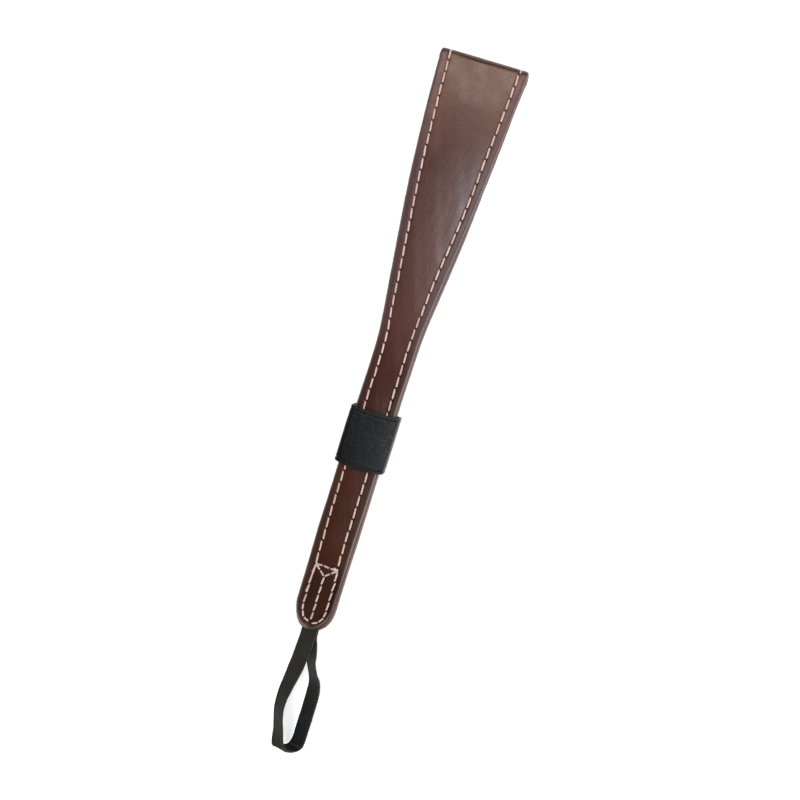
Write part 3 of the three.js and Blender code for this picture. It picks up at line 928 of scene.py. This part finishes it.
# Tints, which multiply the colour that is there. A pair is for the left and right sides.
CLOUD_TINT = (1.42, 1.46, 1.5)
WIDE_LEFT_PAINTED_SHADE = (0.84, 0.78, 0.84)
NARROW_RIGHT_PAINTED_SHADE = (0.76, 0.71, 0.71)
MARGIN_TINTS = ((1.1, 1.46, 1.78), (1.0, 1.42, 1.8))
SEWN_MARGIN_LIGHT_AND_SHADE = ((1.5, 1.45, 1.5), (0.60, 0.47, 0.46))
FOLD_MARGIN_PAINTED_LIGHT = ((1.12, 1.08, 1.08), (1.35, 1.14, 1.12))
BACK_COAT_PAINTED_LIGHT = (1.36, 1.42, 1.4)
FOLD_COAT_TINT = (0.82, 0.72, 0.70)

# Plain colours that are laid over it.
MARGIN_PURPLE = (0.085, 0.046, 0.055)
FLECK_BROWN = (0.016, 0.0065, 0.0045)
DENT_SHADOW = (0.008, 0.004, 0.003)
EDGE_BAND_WIDE, EDGE_BAND_NARROW = (0.090, 0.062, 0.060), (0.052, 0.028, 0.019)
EDGE_COAT, TIP_COAT = (0.128, 0.087, 0.08), (0.12, 0.088, 0.066)
FOLD_TURN_SHADE = (0.034, 0.017, 0.013)
FOLD_LINE_SHADE = (0.009, 0.005, 0.004)

# Where its zones begin and end, in millimetres from the fold or from the row of stitches.
NARROWING = (85.0, 120.0)
SEWN_END = (182.0, 190.0)
NEAR_FOLD = (45.0, 20.0)
OUTSIDE_SEAM = (0.2, -0.6)
FOLD_LINE = 2.95
FOLD_TURNS = (3.3, 2.8)


class BrownLeather(Nodes):
    """The band's leather, coloured zone by zone from the distances that its mesh carries."""

    def __init__(self):
        super().__init__(bpy.data.materials.new("brown_leather"))
        self.seam = self.attribute("seam")
        self.edge = self.attribute("edge")
        self.dent = self.attribute("dent")
        self.across = self.attribute("across")
        self.travel = self.attribute("travel")
        self.off_fold = self.apart(self.travel, FOLD_TRAVEL)
        self.on_right = self.remap(self.across, -1.0, 1.0)
        self.narrow = self.beyond(*NARROWING)
        self.wide = self.rest(self.narrow)
        outside = self.remap(self.seam, *OUTSIDE_SEAM)
        self.sewn_margin = self.times(self.beyond(*SEWN_END), outside)
        self.fold_margin = self.times(self.beyond(*NEAR_FOLD), outside)
        # Masks for the band where the fold's outside turns down and a thin line along the fold:
        # painted shade there, and less gloss.
        ripple = self.remap(self.noise(110, 2, 0.5), 0.3, 0.7, -0.25, 0.25)
        wavy = self.math("ADD", self.off_fold, ripple)
        self.turned = self.remap(wavy, *FOLD_TURNS, 0.0, 0.42)
        self.creased = self.times(self.line(wavy, FOLD_LINE, 0.1, 0.5), 0.6)

    def beyond(self, low, high, most=1.0):
        """0 nearer to the fold than low and the most beyond high, or the other way round."""
        return self.remap(self.off_fold, low, high, 0.0, most)

    def by_side(self, pair):
        return self.mix(self.on_right, *pair)

    def panel(self):
        reach = self.remap(self.off_fold, 0.0, LEATHER_LENGTH, straight=True)
        stops = [(shade.off_fold / LEATHER_LENGTH, shade.colour) for shade in LEATHER_SHADES]
        cloud = self.noise(55, 3, 0.55, STRETCH)
        colour = self.tint(self.remap(cloud, 0.3, 0.7), self.ramp(reach, stops), CLOUD_TINT)
        # Painted shade: the left-hand side of the wide panel is darkened, where the crowned panel
        # falls away from the light.
        on_left = self.remap(self.across, 3.0, -6.0)
        wide_left = self.times(on_left, self.beyond(20.0, 45.0), self.wide)
        return self.tint(wide_left, colour, WIDE_LEFT_PAINTED_SHADE)

    def margin(self, panel):
        """The strips outside the stitches are a little purpler, in patches near the fold."""
        colour = self.mix(1.0, panel, self.by_side(MARGIN_TINTS), "MULTIPLY")
        patch = self.remap(self.noise(130, 2, 0.5), 0.35, 0.65)
        return self.mix(self.times(self.beyond(60, 15), patch, 0.6), colour, MARGIN_PURPLE)

    def marks(self, colour):
        """Flecks, painted shadow in the stitch marks, a greyer edge band, and painted light and shade
        on the margins.
        """
        fleck = self.remap(self.noise(900, 3, 0.6), 0.45, 0.75, 0.0, 0.25)
        colour = self.mix(fleck, colour, FLECK_BROWN)
        colour = self.mix(self.remap(self.dent, 0.1, 0.4, 0.0, 0.75), colour, DENT_SHADOW)
        # A lighter, greyer band along the outer millimetre of every edge.
        edge_band = self.mix(self.narrow, EDGE_BAND_WIDE, EDGE_BAND_NARROW)
        colour = self.mix(self.remap(self.edge, 1.3, 0.7, 0.0, 0.75), colour, edge_band)
        # Painted light and shade on the drawn-down margins at the sewn ends: the left-hand one
        # lighter, the right-hand one darker.
        colour = self.tint(self.sewn_margin, colour, self.by_side(SEWN_MARGIN_LIGHT_AND_SHADE))
        # Painted light: the margins near the fold are lighter, the right-hand one most.
        return self.tint(self.fold_margin, colour, self.by_side(FOLD_MARGIN_PAINTED_LIGHT))

    def edge_coat(self, colour):
        """The painted edges, thinner on the front half's right-hand rim, in the wide part and
        at the tip, and lighter on the back half and near the tips: painted light on low rims in
        shade."""
        on_front = self.remap(self.travel, FOLD_TRAVEL, FOLD_TRAVEL - 1.0)
        thin = self.most(self.times(self.wide, 0.45), self.beyond(178.0, 186.0, 0.75))
        thin = self.times(thin, self.on_right, on_front)
        painted = self.times(self.remap(self.edge, 0.62, 0.15), self.rest(thin), 0.9)
        at_tip = self.beyond(LEATHER_LENGTH - 4.5, LEATHER_LENGTH - 1)
        # Painted light: the coat is lighter on the back half and near the tips, whose rims lie low.
        on_back = self.remap(self.travel, FOLD_TRAVEL + 25.0, FOLD_TRAVEL + 60.0)
        behind = self.most(on_back, self.beyond(178.0, 192.0))
        coat = self.tint(behind, self.mix(at_tip, EDGE_COAT, TIP_COAT), BACK_COAT_PAINTED_LIGHT)
        return self.mix(painted, colour, self.tint(self.beyond(40.0, 20.0), coat, FOLD_COAT_TINT))

    def shine(self):
        """The gloss fades in creases and stitch marks, on the margins and down the strap."""
        dull = self.most(
            self.creased, self.turned, self.remap(self.dent, 0.15, 0.4),
            self.remap(self.seam, 0.1, -0.5, 0.0, 0.6), self.times(self.narrow, 0.45),
            self.times(self.sewn_margin, 0.9),
        )
        return self.remap(dull, 0.0, 1.0, 0.5, 0.08, straight=True)


def brown_leather():
    n = BrownLeather()
    panel = n.panel()
    colour = n.mix(n.remap(n.seam, -0.25, 0.35), n.margin(panel), panel)
    # Painted shade: the right-hand side of the narrow part is darkened.
    narrow_right = n.times(n.remap(n.across, -1.0, 6.0), n.narrow)
    colour = n.tint(narrow_right, colour, NARROW_RIGHT_PAINTED_SHADE)
    colour = n.edge_coat(n.marks(colour))
    # Painted shade where the fold's outside turns down, and a thin painted shade line along the fold.
    colour = n.mix(n.turned, colour, FOLD_TURN_SHADE)
    colour = n.mix(n.creased, colour, FOLD_LINE_SHADE)
    normal = n.bump(n.noise(320, 4, 0.6, STRETCH), 0.2, 0.0004)
    normal = n.bump(n.pebbles(1500), 0.15, 0.00012, normal)
    normal = n.bump(n.noise(2600, 2, 0.5), 0.1, 0.00005, normal)
    gloss = n.remap(n.noise(140, 3, 0.6), 0.3, 0.7, 0.31, 0.39)
    n.set(Base_Color=colour, Roughness=gloss, Normal=normal, Specular_IOR_Level=n.shine())
    return n.owner


# Each stitch's colour lies between the first two; the others darken it here and there: painted shade
# in the grooves between the plies and where the thread dives into its holes, and fuzz.
THREAD_DARK, THREAD_LIGHT = (0.52, 0.366, 0.313), (0.68, 0.512, 0.45)
THREAD_GROOVE_SHADE, THREAD_HOLE_SHADE, THREAD_FUZZ = (0.36, 0.22, 0.18), (0.2, 0.11, 0.085), (0.4, 0.27, 0.22)


def thread_material():
    n = Nodes(bpy.data.materials.new("thread"))
    fuzz = n.noise(1800, 3, 0.6)
    colour = n.mix(n.remap(n.attribute("shade"), -2.0, 2.0), THREAD_DARK, THREAD_LIGHT)
    # Painted shade in the grooves between the plies and towards the ends, where the thread goes into
    # its holes.
    colour = n.mix(n.remap(n.attribute("ply"), 0.0, -1.0, 0.0, 0.35), colour, THREAD_GROOVE_SHADE)
    colour = n.mix(n.remap(n.attribute("end"), 0.78, 1.0, 0.0, 0.7), colour, THREAD_HOLE_SHADE)
    colour = n.mix(n.remap(fuzz, 0.45, 0.8, 0.0, 0.18), colour, THREAD_FUZZ)
    normal = n.bump(fuzz, 0.3, 0.00008)
    n.set(Base_Color=colour, Normal=normal, Roughness=0.62, Sheen_Weight=0.15, Sheen_Roughness=0.5)
    return n.owner


# The tape's colour along its run, browner along one side of the loop and bluish-black along the
# other; 0 and 1 are its sewn ends.
TAPE_TONES = [
    (0.2, (0.0230, 0.0200, 0.0155)), (0.28, (0.0092, 0.0070, 0.0044)),
    (0.42, (0.0148, 0.0112, 0.0082)), (0.5, (0.0150, 0.0122, 0.0090)),
    (0.58, (0.0066, 0.0082, 0.0100)), (0.66, (0.0145, 0.0152, 0.0145)),
    (0.82, (0.0250, 0.0220, 0.0180)), (1.0, (0.0180, 0.0160, 0.0135)),
]
TAPE_PATCH_TINT = (1.3, 1.3, 1.3)
TAPE_SHADED, TAPE_CREASE_HIGHLIGHT = (0.002, 0.002, 0.002), (0.07, 0.075, 0.08)
TAPE_RIB_SHADE, TAPE_RIM_TONE_AND_HIGHLIGHT = (0.003, 0.003, 0.003), (0.05, 0.047, 0.042)


def black_tape():
    n = Nodes(bpy.data.materials.new("black_tape"))
    uv = n.add("ShaderNodeUVMap", uv_map="UVMap").outputs["UV"]
    yarn = n.add(
        "ShaderNodeTexWave", {"Vector": uv, "Scale": 70, "Distortion": 0.6},
        wave_type="BANDS", bands_direction="X",
    )
    patch = n.remap(n.noise(90, 2, 0.5), 0.3, 0.7)
    colour = n.tint(patch, n.ramp(n.attribute("tone"), TAPE_TONES), TAPE_PATCH_TINT)
    colour = n.mix(n.times(n.attribute("turned"), 0.7), colour, TAPE_SHADED)
    # Painted highlight along the crease at the foot of the loop.
    colour = n.mix(n.times(n.attribute("crease"), 0.7), colour, TAPE_CREASE_HIGHLIGHT)
    # Painted shade in the grooves between the ribs.
    colour = n.mix(n.remap(n.attribute("rib"), 0.2, -1.0, 0.0, 0.5), colour, TAPE_RIB_SHADE)
    # Lighter along the rims: a paler selvedge, and partly painted highlight.
    colour = n.mix(n.remap(n.attribute("rim"), 0.88, 0.99, 0.0, 0.6), colour, TAPE_RIM_TONE_AND_HIGHLIGHT)
    normal = n.bump(yarn.outputs["Fac"], 0.35, 0.00012)
    normal = n.bump(n.noise(2400, 3, 0.6), 0.35, 0.00006, normal)
    n.set(Base_Color=colour, Normal=normal, Roughness=0.72, Specular_IOR_Level=0.3)
    n.set(Sheen_Weight=0.08, Sheen_Roughness=0.45, Sheen_Tint=(1.0, 0.93, 0.86))
    return n.owner


# The sleeve's black from its left side to its right, which is painted lighter: painted light from the
# right.
KEEPER_TONES = [
    (0.0, (0.0008, 0.0009, 0.0009)), (0.5, (0.0080, 0.0082, 0.0088)),
    (0.75, (0.0118, 0.0120, 0.0130)), (1.0, (0.0230, 0.0235, 0.0250)),
]
KEEPER_PATCH_TINT = (1.6, 1.6, 1.6)
KEEPER_PEBBLE, KEEPER_CREASE_SHADE = (0.003, 0.0032, 0.0035), (0.0012, 0.0012, 0.0012)


def black_leather():
    n = Nodes(bpy.data.materials.new("black_leather"))
    pebble = n.pebbles(1150)
    wrinkle = n.noise(420, 4, 0.6)
    # Painted light: the sleeve is lighter towards its right-hand side.
    left_to_right = n.remap(n.attribute("across"), -1.0, 1.0, straight=True)
    patch = n.remap(n.noise(120, 3, 0.55), 0.35, 0.65)
    colour = n.tint(patch, n.ramp(left_to_right, KEEPER_TONES), KEEPER_PATCH_TINT)
    colour = n.mix(n.remap(pebble, 0.25, 0.6, 0.0, 0.4), colour, KEEPER_PEBBLE)
    # Painted shade in the crease near each end.
    crease = n.line(n.attribute("rim"), CREASE_INSET, 0.1, 0.3)
    colour = n.mix(n.times(crease, 0.8), colour, KEEPER_CREASE_SHADE)
    normal = n.bump(wrinkle, 0.55, 0.00035)
    normal = n.bump(pebble, 0.4, 0.0002, normal)
    gloss = n.remap(wrinkle, 0.3, 0.7, 0.42, 0.54)
    n.set(Base_Color=colour, Roughness=gloss, Normal=normal, Specular_IOR_Level=0.3)
    return n.owner


def pale_floor():
    n = Nodes(bpy.data.materials.new("pale_floor"))
    patch = n.remap(n.noise(6, 2, 0.5), 0.3, 0.7)
    colour = n.mix(patch, (0.92, 0.915, 0.905), (0.935, 0.93, 0.92))
    n.set(Base_Color=colour, Roughness=0.9, Specular_IOR_Level=0.2)
    n.set(Emission_Color=(1.0, 0.995, 0.99), Emission_Strength=0.45)
    return n.owner


# -------- stage, light and camera
FLOOR_HALF = 12.0  # metres


def floor():
    mesh = bpy.data.meshes.new("floor")
    corners = [(x * FLOOR_HALF, y * FLOOR_HALF, 0) for x, y in ((-1, -1), (1, -1), (1, 1), (-1, 1))]
    mesh.from_pydata(corners, [], [(0, 1, 2, 3)])
    mesh.materials.append(pale_floor())
    plane = add_object("floor", mesh)


def lamp(name, kind, power, colour, aim):
    light = bpy.data.lights.new(name, kind)
    light.energy = power
    light.color = colour
    holder = add_object(name, light)
    holder.rotation_euler = aim.to_track_quat("-Z", "Y").to_euler()
    return holder


def area_light(name, place, size, power, colour, target):
    """A soft rectangular lamp that doesn't show itself in the picture."""
    holder = lamp(name, "AREA", power, colour, Vector(target) - Vector(place))
    holder.data.shape = "RECTANGLE"
    holder.data.size, holder.data.size_y = size
    holder.location = place
    holder.visible_camera = False


def far_light(name, toward, strength, spread, colour):
    """A large far lamp, which lights the whole floor evenly and isn't mirrored in the gloss."""
    holder = lamp(name, "SUN", strength, colour, -Vector(toward))
    holder.data.angle = math.radians(spread)
    holder.visible_glossy = False


WORLD_LOW = 1.05  # brightness of the surroundings near the horizon
WORLD_HIGH = 0.05  # and overhead, where a flat top would mirror it
WORLD_FADE = (0.12, 0.55)  # the heights of the direction between which it fades


def surroundings():
    n = Nodes(bpy.data.worlds.new("studio"), "Background")
    direction = n.add("ShaderNodeTexCoord").outputs["Generated"]
    height = n.add("ShaderNodeSeparateXYZ", {0: direction}).outputs["Z"]
    n.set(Color=(1.0, 1.0, 1.0), Strength=n.remap(height, *WORLD_FADE, WORLD_LOW, WORLD_HIGH))
    bpy.context.scene.world = n.owner


def studio():
    surroundings()
    area_light("overhead", (0.062, 0.073, 0.36), (0.12, 0.06), 0.44, (0.78, 0.89, 1.0), (0, 0.07, 0))
    area_light("beyond_fold", (-0.03, 0.42, 0.5), (0.2, 0.16), 0.7, (1.0, 0.95, 0.9), (0, 0.1, 0))
    far_light("right", (0.93, 0.1, 0.35), 2.2, 24, (1.0, 0.985, 0.975))
    far_light("front", (-0.25, -0.75, 0.62), 2.0, 40, (1.0, 0.985, 0.96))
    view = bpy.context.scene.view_settings
    view.view_transform = "Standard"
    view.look = "None"


CAMERA_DISTANCE = 0.52
CAMERA_TILT_RIGHT = math.radians(5.5)
CAMERA_TILT_FORWARD = math.radians(5.0)
CAMERA_ROLL = math.radians(17.387)
CAMERA_LENS = 67.42
CAMERA_SHIFT = (0.0303, 0.0131)
CAMERA_TARGET = Vector((0, 0, 0.004))


def camera():
    back = Vector((math.tan(CAMERA_TILT_RIGHT), math.tan(CAMERA_TILT_FORWARD), 1)).normalized()
    up = (Vector((0, 1, 0)) - back * back.y).normalized()
    right = up.cross(back)
    turned_up = up * math.cos(CAMERA_ROLL) - right * math.sin(CAMERA_ROLL)
    turned_right = turned_up.cross(back)
    data = bpy.data.cameras.new("camera")
    data.lens = CAMERA_LENS
    data.sensor_width = 36
    data.shift_x, data.shift_y = CAMERA_SHIFT
    data.clip_start, data.clip_end = 0.01, 20
    place = CAMERA_TARGET + back * CAMERA_DISTANCE
    axes = Matrix((turned_right, turned_up, back)).transposed().to_4x4()
    bpy.context.scene.camera = add_object("camera", data)
    bpy.context.scene.camera.matrix_world = Matrix.Translation(place) @ axes


# -------- assembly
camera()
studio()
floor()
THREAD_MATERIAL = thread_material()
leather_band()
thread_mesh("edge_stitches", SEAM_STITCHES, 1, 31)
thread_mesh("inner_stitches", SEAM_STITCHES, -1, 32)
thread_mesh("tip_stitches", TIP_STITCHES, 1, 33)
thread_mesh("tip_stitches_under", mirrored(TIP_STITCHES), 1, 34)
woven_tape()
keeper_sleeve()
